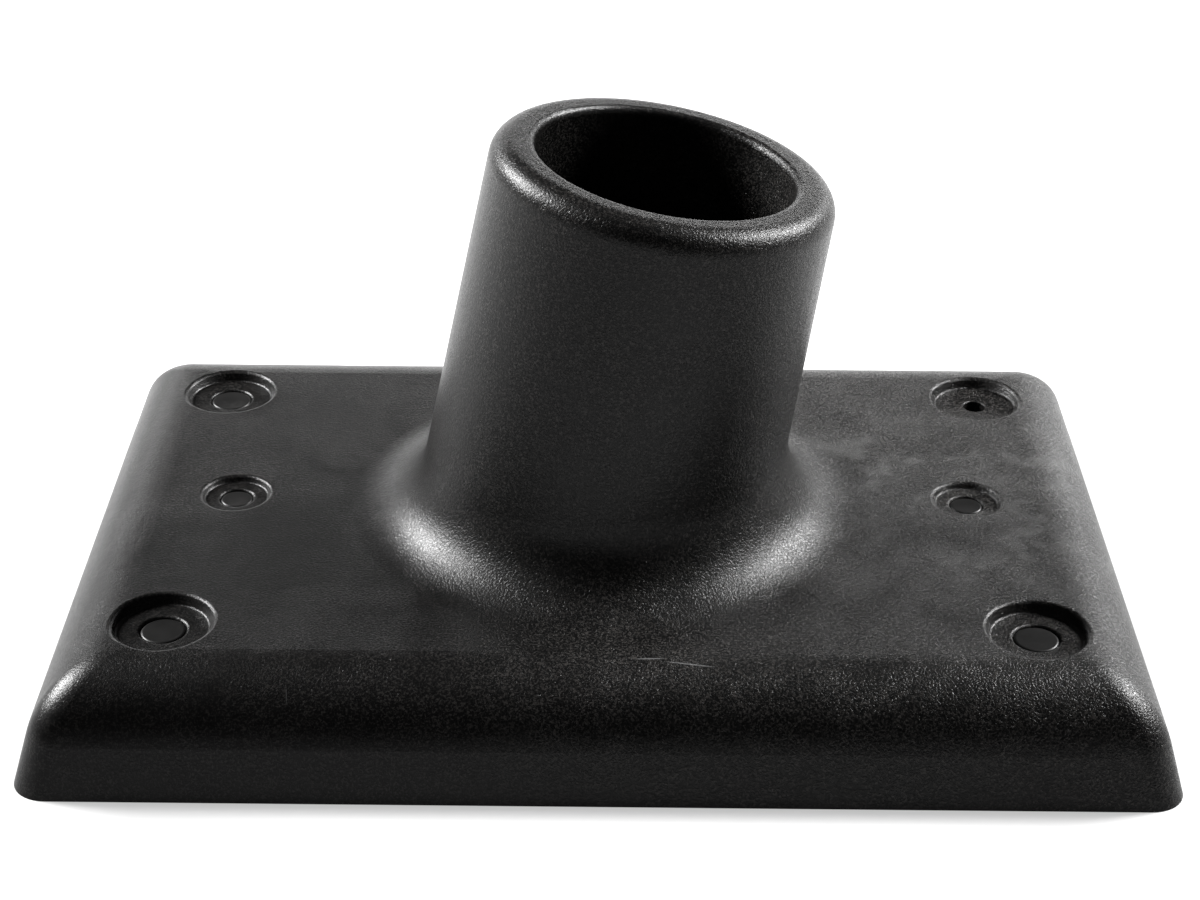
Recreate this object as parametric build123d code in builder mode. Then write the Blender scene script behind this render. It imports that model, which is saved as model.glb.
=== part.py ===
"""Screw-down flag pole stand: a rectangular base moulding with a leaning pole socket, and its screw-hole plugs.

Frame: millimetres, +Z up. The origin is the centre of the base's footprint on the mounting surface.
+X is the long way of the base, and the socket leans towards +X.
"""

from build123d import *
from math import cos, degrees, pi, radians, sin, tan
import os

# Base: a plate with sloping sides and a generous rounding into its flat top.
BASE_LENGTH = 138.4
BASE_WIDTH = 95.4
BASE_HEIGHT = 13.8
SIDE_DRAFT = radians(16.2)
TOP_ROUNDING = 10.4
FOOT_CORNER_R = 4.3
TOP_CORNER_R = 0.9
ROUNDING_STEPS = 6

# Pole socket: a blind bore for a 31.75 mm (1 1/4 in) pole, in a tube that leans in the XZ plane.
SOCKET_LEAN = radians(10.0)
SOCKET_X = -0.8
SOCKET_HEIGHT = 48.7
SOCKET_RIM_R = 21.5
SOCKET_ROOT_R = 23.1
SOCKET_ROOT_DEPTH = 6.0
RIM_ROUNDING = 3.0
FLARE_R = 10.0
BORE_R = 16.25
BORE_DEPTH = 56.7
BORE_LIP_R = 0.9
HUB_R = 20.4
HUB_REACH = 30.0

# Screw recesses: large ones near the corners, smaller ones halfway along the two short ends.
CORNER_SPACING_X = 105.6
CORNER_SPACING_Y = 59.8
MIDDLE_SPACING_X = 96.2
MIDDLE_Y = 1.2
LARGE = {"rim_r": 6.3, "floor_r": 5.6, "depth": 1.3, "hole_r": 1.5, "seat_r": 2.81, "boss_r": 6.2}
SMALL = {"rim_r": 4.6, "floor_r": 4.1, "depth": 0.8, "hole_r": 1.2, "seat_r": 2.16, "boss_r": 5.0}
RECESS_LIP_R = 0.6
FLOOR_CORNER_R = 0.4
SEAT_DEPTH = 3.2
SEAT_LIP = 0.45
OPEN_HOLE_LIP = 0.25

# Plugs: short cups that push into the counterbore of a screw hole, a little below the recess floor.
PLUG_CLEARANCE = 0.06
PLUG_SUNK = 0.15
PLUG_EDGE_R = 0.35
PLUG_WALL = 0.8
PLUG_TOP = 1.2
PLUG_LEAD_IN = 0.3

# Underside: the base is cored out and stiffened with a grid of ribs.
SKIRT_WALL = 3.6
CORE_HEIGHT = 10.3
CORE_ROUNDING = 3.0
RIB_THICKNESS = 2.0
RIB_LIFT = 0.6
RIB_BITE = 1.0
RIB_COLUMNS = 8
RIB_ROWS = 5
RIB_PITCH_X = CORNER_SPACING_X / (RIB_COLUMNS - 1)
RIB_PITCH_Y = CORNER_SPACING_Y / (RIB_ROWS - 1)

# How near two lengths in the finished shape are to count as the same when its edges are looked up.
SAME = 0.01

ROUNDING_FOOT_Z = BASE_HEIGHT - TOP_ROUNDING * (1 - sin(SIDE_DRAFT))
TOP_INSET = ROUNDING_FOOT_Z * tan(SIDE_DRAFT) + TOP_ROUNDING * cos(SIDE_DRAFT)

SOCKET_FOOT = Vector(SOCKET_X, 0, BASE_HEIGHT)
SOCKET_AXIS = Vector(sin(SOCKET_LEAN), 0, cos(SOCKET_LEAN))
SOCKET_ACROSS = Vector(cos(SOCKET_LEAN), 0, -sin(SOCKET_LEAN))
SOCKET_SECTION = Plane(origin=SOCKET_FOOT, x_dir=SOCKET_ACROSS, z_dir=(0, -1, 0))
SOCKET_RIM = Plane(origin=SOCKET_FOOT + SOCKET_AXIS * SOCKET_HEIGHT, z_dir=SOCKET_AXIS)

# Each screw place: its name, its centre, its recess and whether a plug closes it.
SCREW_PLACES = [
    ("front_left", -CORNER_SPACING_X / 2, -CORNER_SPACING_Y / 2, LARGE, True),
    ("front_right", CORNER_SPACING_X / 2, -CORNER_SPACING_Y / 2, LARGE, True),
    ("rear_left", -CORNER_SPACING_X / 2, CORNER_SPACING_Y / 2, LARGE, True),
    ("rear_right", CORNER_SPACING_X / 2, CORNER_SPACING_Y / 2, LARGE, False),
    ("middle_left", -MIDDLE_SPACING_X / 2, MIDDLE_Y, SMALL, True),
    ("middle_right", MIDDLE_SPACING_X / 2, MIDDLE_Y, SMALL, True),
]


def outline(inset):
    """The base's plan outline, drawn in from the foot by inset, with corners that tighten towards the top."""
    corner_r = FOOT_CORNER_R - (FOOT_CORNER_R - TOP_CORNER_R) * inset / TOP_INSET
    return RectangleRounded(BASE_LENGTH - 2 * inset, BASE_WIDTH - 2 * inset, corner_r)


def rounding_sections():
    """Inset and height of the outer surface, from the top of the sloping side to the flat top."""
    sections = []
    for step in range(ROUNDING_STEPS + 1):
        angle = SIDE_DRAFT + (pi / 2 - SIDE_DRAFT) * step / ROUNDING_STEPS
        inset = TOP_INSET - TOP_ROUNDING * cos(angle)
        height = BASE_HEIGHT - TOP_ROUNDING * (1 - sin(angle))
        sections.append((inset, height))
    return sections


def floor_height(size):
    """The height of a screw recess's flat floor."""
    return BASE_HEIGHT - size["depth"]


def rings_at(part, radius, height):
    """The circular edges of one radius at one height."""
    rings = part.edges().filter_by(GeomType.CIRCLE)
    return rings.filter_by(lambda e: abs(e.radius - radius) < SAME and abs(e.center().Z - height) < SAME)


def make_shell():
    """The outer shape: sloping sides, rounded top edge, socket tube and the flare that joins them."""
    sections = rounding_sections()
    taper_per_mm = (SOCKET_ROOT_R - SOCKET_RIM_R) / SOCKET_HEIGHT
    with BuildPart() as shell:
        for inset, height in [(0, 0), sections[0]]:
            with BuildSketch(Plane.XY.offset(height)):
                outline(inset)
        loft(ruled=True)
        for inset, height in sections:
            with BuildSketch(Plane.XY.offset(height)):
                outline(inset)
        loft()
        with BuildSketch(SOCKET_SECTION):
            with BuildLine():
                Polyline(
                    (0, -SOCKET_ROOT_DEPTH),
                    (SOCKET_ROOT_R + taper_per_mm * SOCKET_ROOT_DEPTH, -SOCKET_ROOT_DEPTH),
                    (SOCKET_RIM_R, SOCKET_HEIGHT),
                    (0, SOCKET_HEIGHT),
                    close=True,
                )
            make_face()
        revolve(axis=Axis(SOCKET_FOOT, SOCKET_AXIS))
        fillet(shell.edges().filter_by(GeomType.ELLIPSE), FLARE_R)
        fillet(shell.faces().sort_by(Axis.Z)[-1].edges(), RIM_ROUNDING)
    return shell


def make_core():
    """The space moulded out of the underside."""
    with BuildPart() as core:
        with BuildSketch():
            RectangleRounded(BASE_LENGTH - 2 * SKIRT_WALL, BASE_WIDTH - 2 * SKIRT_WALL, FOOT_CORNER_R)
        extrude(amount=CORE_HEIGHT, taper=degrees(SIDE_DRAFT))
        fillet(core.faces().sort_by(Axis.Z)[-1].edges(), CORE_ROUNDING)
    return core


def make_stiffeners():
    """The rib grid, screw bosses and socket hub under the plate, trimmed just inside the base's walls."""
    trim_length = BASE_LENGTH - 2 * (SKIRT_WALL - RIB_BITE)
    trim_width = BASE_WIDTH - 2 * (SKIRT_WALL - RIB_BITE)
    top = CORE_HEIGHT + RIB_BITE
    with BuildPart() as stiffeners:
        with BuildSketch(SOCKET_RIM.offset(-SOCKET_HEIGHT)):
            Circle(HUB_R)
        extrude(amount=HUB_REACH, both=True)
        split(bisect_by=Plane.XY.offset(RIB_LIFT), keep=Keep.TOP)
        with BuildSketch(Plane.XY.offset(RIB_LIFT)):
            with GridLocations(RIB_PITCH_X, RIB_PITCH_Y, RIB_COLUMNS, 1):
                Rectangle(RIB_THICKNESS, BASE_WIDTH)
            with GridLocations(RIB_PITCH_X, RIB_PITCH_Y, 1, RIB_ROWS):
                Rectangle(BASE_LENGTH, RIB_THICKNESS)
        extrude(amount=top)
        for name, x, y, size, plugged in SCREW_PLACES:
            with BuildSketch():
                with Locations((x, y)):
                    Circle(size["boss_r"])
            extrude(amount=top)
        with BuildSketch():
            RectangleRounded(trim_length, trim_width, FOOT_CORNER_R)
        extrude(amount=top, taper=degrees(SIDE_DRAFT), mode=Mode.INTERSECT)
    return stiffeners


def make_recess(x, y, size):
    """The material to cut away for one screw recess: a cone that widens upwards from the flat floor."""
    slope = (size["rim_r"] - size["floor_r"]) / size["depth"]
    with BuildPart() as recess:
        with BuildSketch(Plane(origin=(x, y, floor_height(size)), x_dir=(1, 0, 0), z_dir=(0, -1, 0))):
            with BuildLine():
                Polyline(
                    (0, 0),
                    (size["floor_r"], 0),
                    (size["floor_r"] + slope * TOP_ROUNDING, TOP_ROUNDING),
                    (0, TOP_ROUNDING),
                    close=True,
                )
            make_face()
        revolve(axis=Axis((x, y, 0), (0, 0, 1)))
    return recess


def is_lip(edge, size):
    """Whether an edge of a recess's wall runs round its lip, rather than round its floor or up its seam."""
    return edge.geom_type != GeomType.LINE and edge.center().Z > floor_height(size) + size["depth"] / 2


def make_base():
    """The one-piece moulding: shell, cored and ribbed underside, recesses, screw holes and the pole bore."""
    with BuildPart() as base:
        add(make_shell().part)
        for name, x, y, size, plugged in SCREW_PLACES:
            add(make_recess(x, y, size).part, mode=Mode.SUBTRACT)
            wall = base.faces(Select.LAST).filter_by(GeomType.CONE)[0]
            fillet(wall.edges().filter_by(lambda edge: is_lip(edge, size)), RECESS_LIP_R)
        for size in (LARGE, SMALL):
            fillet(rings_at(base, size["floor_r"], floor_height(size)), FLOOR_CORNER_R)
        add(make_core().part, mode=Mode.SUBTRACT)
        add(make_stiffeners().part)
        with BuildSketch(SOCKET_RIM):
            Circle(BORE_R)
        extrude(amount=-BORE_DEPTH, mode=Mode.SUBTRACT)
        fillet(base.edges().filter_by(GeomType.CIRCLE).filter_by(on_bore_mouth), BORE_LIP_R)
        for name, x, y, size, plugged in SCREW_PLACES:
            with Locations((x, y, floor_height(size))):
                if plugged:
                    CounterBoreHole(size["hole_r"], size["seat_r"], SEAT_DEPTH)
                else:
                    Hole(size["hole_r"])
        for size in (LARGE, SMALL):
            fillet(rings_at(base, size["seat_r"], floor_height(size)), SEAT_LIP)
        fillet(rings_at(base, LARGE["hole_r"], floor_height(LARGE)), OPEN_HOLE_LIP)
    return base


def on_bore_mouth(edge):
    """Whether a circular edge is the bore's mouth in the plane of the socket rim."""
    return abs(edge.radius - BORE_R) < SAME and (edge.arc_center - SOCKET_RIM.origin).length < SAME


def make_plug(x, y, size):
    """A push-in plug: a round cup, closed on top, that stands on the shoulder of its screw hole."""
    bottom = floor_height(size) - SEAT_DEPTH
    height = SEAT_DEPTH - PLUG_SUNK
    radius = size["seat_r"] - PLUG_CLEARANCE
    with BuildPart() as plug:
        with BuildSketch(Plane.XY.offset(bottom)):
            with Locations((x, y)):
                Circle(radius)
        extrude(amount=height)
        fillet(plug.faces().sort_by(Axis.Z)[-1].edges(), PLUG_EDGE_R)
        chamfer(plug.faces().sort_by(Axis.Z)[0].edges(), PLUG_LEAD_IN)
        with BuildSketch(Plane.XY.offset(bottom)):
            with Locations((x, y)):
                Circle(radius - PLUG_WALL)
        extrude(amount=height - PLUG_TOP, mode=Mode.SUBTRACT)
    return plug


def write_part(builder, name):
    """Label a finished piece and write it under its node's name."""
    builder.part.label = name
    export_step(builder.part, f"parts/{name}.step")


os.makedirs("parts", exist_ok=True)
write_part(make_base(), "base_moulding")
for name, x, y, size, plugged in SCREW_PLACES:
    if plugged:
        write_part(make_plug(x, y, size), f"plug_{name}")
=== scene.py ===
"""Looks of the flag pole stand.

A grained black moulding with smoother plugs in its screw holes, on a white studio floor.
"""

from math import cos, radians, sin

import bpy
from mathutils import Matrix, Vector


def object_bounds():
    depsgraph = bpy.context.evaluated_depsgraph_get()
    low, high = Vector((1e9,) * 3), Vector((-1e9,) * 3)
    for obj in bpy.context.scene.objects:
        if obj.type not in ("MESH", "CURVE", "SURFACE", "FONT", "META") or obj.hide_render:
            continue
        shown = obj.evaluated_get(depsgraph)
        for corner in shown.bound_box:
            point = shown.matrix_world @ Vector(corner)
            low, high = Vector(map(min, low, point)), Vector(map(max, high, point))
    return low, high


UP = Vector((0, 0, 1))

# Camera: its place in the row frame, and how it is turned from looking along +Y.
CAMERA_PLACE = Vector((0.00077, -0.27872, 0.17539))
CAMERA_YAW = radians(-0.205)
CAMERA_PITCH = radians(28.926)
CAMERA_ROLL = radians(0.442)
CAMERA_LENS = 73.62
CAMERA_CLIP_START = 0.01
SENSOR_WIDTH = 36.0

# Studio. The floor glows a little, so that it stays white right up to the object.
FLOOR_HALF = 3.0
FLOOR_GLOW = 0.50
WORLD_COLOUR = (1.0, 1.0, 1.0)
WORLD_STRENGTH = 0.08
LIGHTS = [
    # name, direction from the object, distance, width, height, power
    ("left_softbox", (-0.70, 0.32, 0.48), 1.10, 0.38, 0.32, 52.0),
    ("right_softbox", (0.64, 0.34, 0.50), 1.10, 0.36, 0.32, 46.0),
    ("rear_glow", (0.05, 1.00, 0.13), 1.20, 1.70, 0.16, 5.0),
]

# Noise patterns: scale per metre, detail, roughness and distortion.
MOULDING_GRAIN = (3400, 2, 0.75, 0.6)
MOULDING_CLOUDS = (95, 4, 0.6, 0.8)
MOULDING_SMEARS = (170, 5, 0.7, 0.7)
PLUG_RIPPLE = (2400, 2, 0.5, 0.0)
PLUG_CLOUDS = (260, 3, 0.5, 0.0)
PAPER_FIBRES = (700, 3, 0.6, 0.0)

# Moulding: its grain strengthens from left to right, and varies with the clouds.
GRAIN_GROWS_X = (-0.04, 0.04)
CLOUDS_TO_GRAIN = (0.3, 0.7)
GRAIN_STRENGTH = (0.55, 1.0)
GRAIN_DEPTH = 0.00012
GRAIN_BUMP = 1.0

# Moulding: light flecks in its black, and flow marks to the right of the socket.
GRAIN_TO_FLECK = (0.50, 0.62)
MOULDING_BLACK = (0.0002, 0.0002, 0.0002)
FLECK_COLOUR = (0.026, 0.0243, 0.0230)
SMEARS_TO_FLOW = (0.50, 0.72)
FLOW_STARTS_X = (0.022, 0.036)
FLOW_STARTS_Y = (-0.030, -0.010)
FLOW_ENDS_Y = (0.030, 0.012)
FLOW_COLOUR = (0.038, 0.038, 0.037)

# Moulding: its roughness, and how much smoother the tops of the grain are.
CLOUDS_TO_ROUGHNESS = (0.25, 0.75)
MOULDING_ROUGHNESS = (0.32, 0.37)
GRAIN_TO_GLOSS = (0.42, 0.60)
GLOSS_CHANGE = (0.0, -0.14)

# Moulding: short scratches near the front edge.
SCRATCH_COLOUR = (0.045, 0.045, 0.045)
SCRATCH_HALF_HEIGHT = 0.003
SCRATCH_EDGE = (0.0, 0.5)
SCRATCHES = [
    # x, y, z, turn in degrees, half length, half width
    (-0.0364, -0.0429, 0.0136, 95.0, 0.0018, 0.00016),
    (-0.0417, -0.0446, 0.0125, 120.0, 0.0012, 0.00014),
    (0.0060, -0.0370, 0.0138, 2.0, 0.0020, 0.00013),
    (0.0107, -0.0379, 0.0138, -8.0, 0.0034, 0.00013),
]

# Plugs.
PLUG_DARK = (0.0030, 0.0030, 0.0030)
PLUG_LIGHT = (0.0060, 0.0058, 0.0056)
CLOUDS_TO_PLUG_ROUGHNESS = (0.3, 0.7)
PLUG_ROUGHNESS = (0.34, 0.42)
RIPPLE_DEPTH = 0.00001
RIPPLE_BUMP = 0.5

# Both plastics.
PLASTIC_SPECULAR = 0.14
PLASTIC_IOR = 1.5

# Floor paper.
PAPER_DARK = (0.28, 0.28, 0.28)
PAPER_LIGHT = (0.30, 0.30, 0.30)
PAPER_ROUGHNESS = 0.95
PAPER_SPECULAR = 0.1
PAPER_GLOW_COLOUR = (1.0, 1.0, 1.0, 1.0)


def aim(obj, place, forward, up_hint):
    """Put obj at place with its -Z along forward, and its Y as near as it goes to up_hint."""
    forward = forward.normalized()
    right = forward.cross(up_hint).normalized()
    up = right.cross(forward)
    turned = Matrix((right, up, -forward)).transposed().to_4x4()
    obj.matrix_world = Matrix.Translation(place) @ turned


def make_camera():
    """The camera, turned by yaw, pitch and roll."""
    data = bpy.data.cameras.new("photo_camera")
    data.lens = CAMERA_LENS
    data.sensor_width = SENSOR_WIDTH
    data.clip_start = CAMERA_CLIP_START
    camera = bpy.data.objects.new("photo_camera", data)
    bpy.context.scene.collection.objects.link(camera)
    forward = Vector(
        (
            sin(CAMERA_YAW) * cos(CAMERA_PITCH),
            cos(CAMERA_YAW) * cos(CAMERA_PITCH),
            -sin(CAMERA_PITCH),
        )
    )
    right = Vector((cos(CAMERA_YAW), -sin(CAMERA_YAW), 0.0))
    level_up = right.cross(forward)
    rolled_up = level_up * cos(CAMERA_ROLL) - right * sin(CAMERA_ROLL)
    aim(camera, CAMERA_PLACE, forward, rolled_up)
    bpy.context.scene.camera = camera


def make_lights(centre):
    """Soft boxes round the object, all aimed at its centre."""
    for name, direction, distance, width, height, power in LIGHTS:
        data = bpy.data.lights.new(name, "AREA")
        data.shape = "RECTANGLE"
        data.size = width
        data.size_y = height
        data.energy = power
        light = bpy.data.objects.new(name, data)
        bpy.context.scene.collection.objects.link(light)
        away = Vector(direction).normalized()
        aim(light, centre + away * distance, -away, UP)


def make_world():
    """A dim even surround."""
    world = bpy.data.worlds.new("studio")
    world.use_nodes = True
    background = world.node_tree.nodes["Background"]
    background.inputs["Color"].default_value = (*WORLD_COLOUR, 1)
    background.inputs["Strength"].default_value = WORLD_STRENGTH
    bpy.context.scene.world = world


class Graph:
    """A material's node tree, with short calls for the nodes used here."""

    def __init__(self, name):
        self.material = bpy.data.materials.new(name)
        self.material.use_nodes = True
        self.tree = self.material.node_tree
        self.shader = self.tree.nodes["Principled BSDF"]
        self.place = self.tree.nodes.new("ShaderNodeTexCoord").outputs["Object"]

    def set(self, node, values):
        """Link sockets or set constants on a node's inputs."""
        for key, value in values.items():
            if isinstance(value, bpy.types.NodeSocket):
                self.tree.links.new(value, node.inputs[key])
            else:
                node.inputs[key].default_value = value
        return node

    def noise(self, scale, detail, roughness, distortion):
        """A noise pattern from 0 to 1, with features of about 1/scale metres."""
        node = self.tree.nodes.new("ShaderNodeTexNoise")
        node.noise_type = "FBM"
        node.normalize = True
        return self.set(
            node,
            {
                "Vector": self.place,
                "Scale": scale,
                "Detail": detail,
                "Roughness": roughness,
                "Distortion": distortion,
            },
        ).outputs["Fac"]

    def span(self, value, low, high, to_low=0.0, to_high=1.0, smooth=False):
        """Map low..high onto to_low..to_high, clamped."""
        node = self.tree.nodes.new("ShaderNodeMapRange")
        node.interpolation_type = "SMOOTHSTEP" if smooth else "LINEAR"
        return self.set(
            node,
            {
                "Value": value,
                "From Min": low,
                "From Max": high,
                "To Min": to_low,
                "To Max": to_high,
            },
        ).outputs["Result"]

    def calc(self, operation, a, b):
        """A sum, product or other two-number result."""
        node = self.tree.nodes.new("ShaderNodeMath")
        node.operation = operation
        return self.set(node, {0: a, 1: b}).outputs["Value"]

    def axis(self, name):
        """One coordinate of the place vector."""
        node = self.tree.nodes.new("ShaderNodeSeparateXYZ")
        return self.set(node, {"Vector": self.place}).outputs[name]

    def blend(self, factor, start, end):
        """A mix of two colours, all start at factor 0 and all end at 1."""
        node = self.tree.nodes.new("ShaderNodeMix")
        node.data_type = "RGBA"
        colours = [s for s in node.inputs if s.type == "RGBA"]
        self.set(node, {"Factor": factor})
        for socket, colour in zip(colours, (start, end)):
            if isinstance(colour, bpy.types.NodeSocket):
                self.tree.links.new(colour, socket)
            else:
                socket.default_value = (*colour, 1)
        return [s for s in node.outputs if s.type == "RGBA"][0]

    def scratch(self, x, y, z, turn, half_length, half_width):
        """A thin mark: 1 along its middle and 0 outside."""
        shift = self.tree.nodes.new("ShaderNodeMapping")
        shift.vector_type = "TEXTURE"
        values = {
            "Vector": self.place,
            "Location": (x, y, z),
            "Rotation": (0.0, 0.0, radians(turn)),
            "Scale": (half_length, half_width, SCRATCH_HALF_HEIGHT),
        }
        node = self.tree.nodes.new("ShaderNodeTexGradient")
        node.gradient_type = "SPHERICAL"
        self.set(node, {"Vector": self.set(shift, values).outputs["Vector"]})
        return self.span(node.outputs["Fac"], *SCRATCH_EDGE)

    def bump(self, height, depth, strength):
        """A bump of depth metres at full height."""
        node = self.tree.nodes.new("ShaderNodeBump")
        values = {"Height": height, "Distance": depth, "Strength": strength}
        return self.set(node, values).outputs["Normal"]


def moulding_material():
    """Grained black plastic: fine felt-like grain with light flecks, flow marks and short scratches."""
    g = Graph("grained_black_plastic")
    grain = g.noise(*MOULDING_GRAIN)
    clouds = g.noise(*MOULDING_CLOUDS)
    smears = g.noise(*MOULDING_SMEARS)

    rightward = g.span(g.axis("X"), *GRAIN_GROWS_X, *GRAIN_STRENGTH, smooth=True)
    cloudy = g.span(clouds, *CLOUDS_TO_GRAIN, *GRAIN_STRENGTH)
    patchy = g.calc("MULTIPLY", rightward, cloudy)
    fleck = g.calc("MULTIPLY", g.span(grain, *GRAIN_TO_FLECK), patchy)
    colour = g.blend(fleck, MOULDING_BLACK, FLECK_COLOUR)

    past_socket = g.span(g.axis("X"), *FLOW_STARTS_X, smooth=True)
    flow = g.calc("MULTIPLY", g.span(smears, *SMEARS_TO_FLOW), past_socket)
    flow = g.calc("MULTIPLY", flow, g.span(g.axis("Y"), *FLOW_STARTS_Y, smooth=True))
    flow = g.calc("MULTIPLY", flow, g.span(g.axis("Y"), *FLOW_ENDS_Y, smooth=True))
    colour = g.blend(flow, colour, FLOW_COLOUR)
    for mark in SCRATCHES:
        colour = g.blend(g.scratch(*mark), colour, SCRATCH_COLOUR)

    gloss = g.calc("MULTIPLY", g.span(grain, *GRAIN_TO_GLOSS), patchy)
    rough = g.span(clouds, *CLOUDS_TO_ROUGHNESS, *MOULDING_ROUGHNESS)
    g.set(
        g.shader,
        {
            "Base Color": colour,
            "Roughness": g.calc("ADD", rough, g.span(gloss, 0.0, 1.0, *GLOSS_CHANGE)),
            "Normal": g.bump(g.calc("MULTIPLY", grain, patchy), GRAIN_DEPTH, GRAIN_BUMP),
            "Specular IOR Level": PLASTIC_SPECULAR,
            "IOR": PLASTIC_IOR,
        },
    )
    return g.material


def plug_material():
    """Smoother satin black plastic with a slight ripple."""
    g = Graph("satin_black_plastic")
    clouds = g.noise(*PLUG_CLOUDS)
    g.set(
        g.shader,
        {
            "Base Color": g.blend(clouds, PLUG_DARK, PLUG_LIGHT),
            "Roughness": g.span(clouds, *CLOUDS_TO_PLUG_ROUGHNESS, *PLUG_ROUGHNESS),
            "Normal": g.bump(g.noise(*PLUG_RIPPLE), RIPPLE_DEPTH, RIPPLE_BUMP),
            "Specular IOR Level": PLASTIC_SPECULAR,
            "IOR": PLASTIC_IOR,
        },
    )
    return g.material


def floor_material():
    """Matte white paper, lit a little from within."""
    g = Graph("white_paper")
    g.set(
        g.shader,
        {
            "Base Color": g.blend(g.noise(*PAPER_FIBRES), PAPER_DARK, PAPER_LIGHT),
            "Roughness": PAPER_ROUGHNESS,
            "Specular IOR Level": PAPER_SPECULAR,
            "Emission Color": PAPER_GLOW_COLOUR,
            "Emission Strength": FLOOR_GLOW,
        },
    )
    return g.material


def make_floor(height):
    """A plain pale floor under the object."""
    mesh = bpy.data.meshes.new("studio_floor")
    corners = [
        (-FLOOR_HALF, -FLOOR_HALF, height),
        (FLOOR_HALF, -FLOOR_HALF, height),
        (FLOOR_HALF, FLOOR_HALF, height),
        (-FLOOR_HALF, FLOOR_HALF, height),
    ]
    mesh.from_pydata(corners, [], [(0, 1, 2, 3)])
    mesh.materials.append(floor_material())
    floor = bpy.data.objects.new("studio_floor", mesh)
    bpy.context.scene.collection.objects.link(floor)


def paint(node, material):
    """Give a node of the frame one material all over."""
    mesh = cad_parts[node].data
    mesh.materials.clear()
    mesh.materials.append(material)


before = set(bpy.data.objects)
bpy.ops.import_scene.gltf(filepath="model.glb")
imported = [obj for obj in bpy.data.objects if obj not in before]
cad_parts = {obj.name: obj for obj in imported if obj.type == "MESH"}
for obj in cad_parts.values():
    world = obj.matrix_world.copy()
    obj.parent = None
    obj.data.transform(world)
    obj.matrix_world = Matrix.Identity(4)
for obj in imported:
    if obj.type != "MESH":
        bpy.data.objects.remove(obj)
cad_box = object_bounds()

bpy.context.scene.view_settings.view_transform = "Standard"
make_camera()
make_world()
make_lights((cad_box[0] + cad_box[1]) / 2)
make_floor(cad_box[0].z)

plug_finish = plug_material()
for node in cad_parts:
    if node.startswith("plug"):
        paint(node, plug_finish)
paint("base_moulding", moulding_material())
